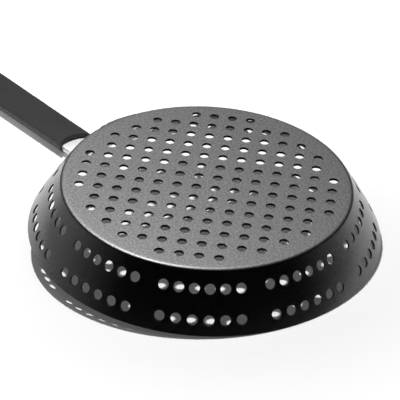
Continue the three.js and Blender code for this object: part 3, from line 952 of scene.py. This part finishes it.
# The screw's head and washer lie in a bore in the slot's pan side. A narrower bore for the driver
# goes on from the slot through the free end.
washer_bore = 7.2 * mm
driver_bore = 6.6 * mm
washer_seat = 126.8 * mm  # from the pan end to the step that the washer pulls on
bore_end = 5 * mm  # short of the slot's middle, and out beyond the free end
bore_sides = 32
bore_turn = (np.arange(bore_sides) + 0.5) * 2 * math.pi / bore_sides
for start, end, width in (
    (washer_seat, slot_middle - bore_end, washer_bore),
    (slot_middle + bore_end, grip_length + bore_end, driver_bore),
):
    bore_cutter = Patchwork()
    bore_rings = bore_cutter.add(in_handle(
        np.array([[start], [end]]),
        width / 2 * np.cos(bore_turn),
        strap_middle + width / 2 * np.sin(bore_turn),
    ))
    bore_cutter.rings(bore_rings[:-1], bore_rings[1:])
    bore_cutter.lids = [bore_rings[0][::-1].tolist(), bore_rings[-1].tolist()]
    cut_away(grip_piece, bore_cutter, "bore_cutter")
grip_piece.data.shade_smooth()
grip_piece.data.set_sharp_from_angle(angle=math.radians(grip_crease))
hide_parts("grip")


def black_moulding():
    """Black phenolic: a satin skin with a fine matt grain, flow marks, and slight handling shine."""
    shader = Shader("black phenolic moulding")
    grain = shader.noise(0.35 * mm, 2.0, 0.6)
    flow = shader.noise(16 * mm, 2.0, 0.5, (0.4, 1, 1))
    return shader.finish({
        "Base Color": shader.tint(flow, (0.008, 0.008, 0.0083), (0.022, 0.022, 0.0225)),
        "Roughness": 0.46 + grain * 0.1 + flow * 0.1,
        "Normal": shader.bump(grain, 0.02 * mm, 0.5),
    })


grip_piece.data.materials.clear()
grip_piece.data.materials.append(black_moulding())

# Nut, tie screw and washer: the square nut is welded to the end of the tang, and the long screw
# draws the grip up to the pan through it. They are inside the grip, and keep their solids.
for name in ("tang_nut", "tie_screw", "screw_washer"):
    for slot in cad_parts[name].material_slots:
        slot.material = plated

# Floor: a plain white table top. The pan stands on it on its rim and on the back of its grip, so
# the floor lies tilted under the base. It isn't part of the object.
floor_radius = 3.0  # half the length of its side
floor_side_slope = 0.0102
floor_glow = 0.06  # its own white under the pan, which lights nothing
glow_bands = ((0.165, 0.26, 0.15), (0.3, 0.6, 0.05), (0.6, 1.6, 0.5))  # from, to, and what each adds
grip_points = np.array([vertex.co[:] for vertex in grip_piece.data.vertices])
floor_slope = float(np.max((-pan_depth - grip_points[:, 2]) / (rim_radius + grip_points[:, 0])))
floor_drop = pan_depth + rim_radius * math.hypot(floor_slope, floor_side_slope)
floor_mesh = bpy.data.meshes.new("floor")
corners = np.array([[-1, -1], [1, -1], [1, 1], [-1, 1]]) * floor_radius
corner_z = -floor_drop - floor_slope * corners[:, 0] + floor_side_slope * corners[:, 1]
floor_mesh.from_pydata(np.column_stack([corners, corner_z]), [], [(0, 1, 2, 3)])
floor = bpy.data.objects.new("floor", floor_mesh)
bpy.context.scene.collection.objects.link(floor)


def floor_finish():
    """Matt white that takes the shadow, and glows more with each band of distance from the pan.

    The glow is seen directly and in mirrors, and lights nothing.
    """
    shader = Shader("white table top")
    seen = shader.node("ShaderNodeLightPath", output=0) + shader.node("ShaderNodeLightPath", output=3)
    reach = shader.node("ShaderNodeVectorMath", {"operation": "LENGTH"}, {0: shader.place()}, output=1)
    glow = floor_glow
    for start, end, rise in glow_bands:
        glow = glow + reach.above(start, end) * rise
    lit = shader.node("ShaderNodeBsdfPrincipled", {}, {
        "Base Color": (0.97, 0.97, 0.97, 1), "Roughness": 0.6, "Specular IOR Level": 0.2,
        "Emission Color": shader.tint(seen * glow, (0, 0, 0), (1, 1, 1)), "Emission Strength": 1.0,
    })
    shader.node("ShaderNodeOutputMaterial", {}, {"Surface": lit})
    return shader.material


floor_mesh.materials.append(floor_finish())

# Camera: a long lens at the photograph's place, turned about its own axis to the photograph's tilt
camera_place = Vector((-0.9345, 0.736, 0.7949))
camera_aim = Vector((-0.0170, 0.0194, 0.0))
camera_roll = math.radians(3.16)
camera_lens = 164.85  # in millimetres, on a frame 36 wide
lens_data = bpy.data.cameras.new("camera")
lens_data.sensor_width = 36.0
lens_data.lens = camera_lens
camera = bpy.data.objects.new("camera", lens_data)
bpy.context.scene.collection.objects.link(camera)
sight = (camera_aim - camera_place).to_track_quat("-Z", "Y").to_matrix().to_4x4()
camera.matrix_world = Matrix.Translation(camera_place) @ sight @ Matrix.Rotation(camera_roll, 4, "Z")
bpy.context.scene.camera = camera

# Light: a small studio lamp stands high behind the handle, and makes the crisp shadow with its spots
# of light. The room is white behind the pan and dark behind the camera.
lamp_turn = math.radians(-1.91)  # from the handle's direction
lamp_height = math.radians(66.32)
lamp_distance = 1.61
lamp_size = 0.06
lamp_level = 0.92  # what a white surface that faces the lamp sends back
white_side_turn = math.radians(-30)  # of the room's white side, from the handle's direction
white_side_level = 0.5
ceiling_level = 0.3
lamp_away = Vector((
    math.cos(lamp_turn) * math.cos(lamp_height),
    math.sin(lamp_turn) * math.cos(lamp_height),
    math.sin(lamp_height),
))
lamp_data = bpy.data.lights.new("high lamp", "AREA")
lamp_data.shape = "DISK"
lamp_data.size = lamp_size
lamp_data.energy = lamp_level * (math.pi * lamp_distance) ** 2
lamp = bpy.data.objects.new("high lamp", lamp_data)
lamp_aim = (-lamp_away).to_track_quat("-Z", "Y").to_matrix().to_4x4()
lamp.matrix_world = Matrix.Translation(lamp_away * lamp_distance) @ lamp_aim
lamp.visible_camera = False
bpy.context.scene.collection.objects.link(lamp)


def room():
    """Plain white where it is seen directly, and otherwise the levels that light the object.

    The white side fades out to its left and right, and from a little above the level upwards. The
    ceiling is lit round its middle, and all else is dark.
    """
    world = bpy.data.worlds.new("room")
    world.use_nodes = True
    shader = Shader("room", world.node_tree)
    direction = shader.node("ShaderNodeTexCoord", output=0)
    towards = {"operation": "DOT_PRODUCT"}
    white_side = (math.cos(white_side_turn), math.sin(white_side_turn), 0)
    back = shader.node("ShaderNodeVectorMath", towards, {0: direction, 1: white_side}, output=1)
    seen = shader.node("ShaderNodeLightPath", output=0)
    height = shader.node("ShaderNodeSeparateXYZ", {}, {"Vector": direction}, output=2)
    wall = back.above(-0.45, 0.45) * (1 - height.above(0.15, 0.55))
    level = wall * white_side_level + height.above(0.7, 0.9) * ceiling_level
    light = level * (1 - seen) + seen
    colour = shader.node("ShaderNodeCombineColor", {}, {0: light, 1: light, 2: light})
    background = shader.node("ShaderNodeBackground", {}, {"Color": colour, "Strength": 1.0})
    shader.node("ShaderNodeOutputWorld", {}, {"Surface": background})
    return world


bpy.context.scene.world = room()
bpy.context.scene.view_settings.view_transform = "Standard"
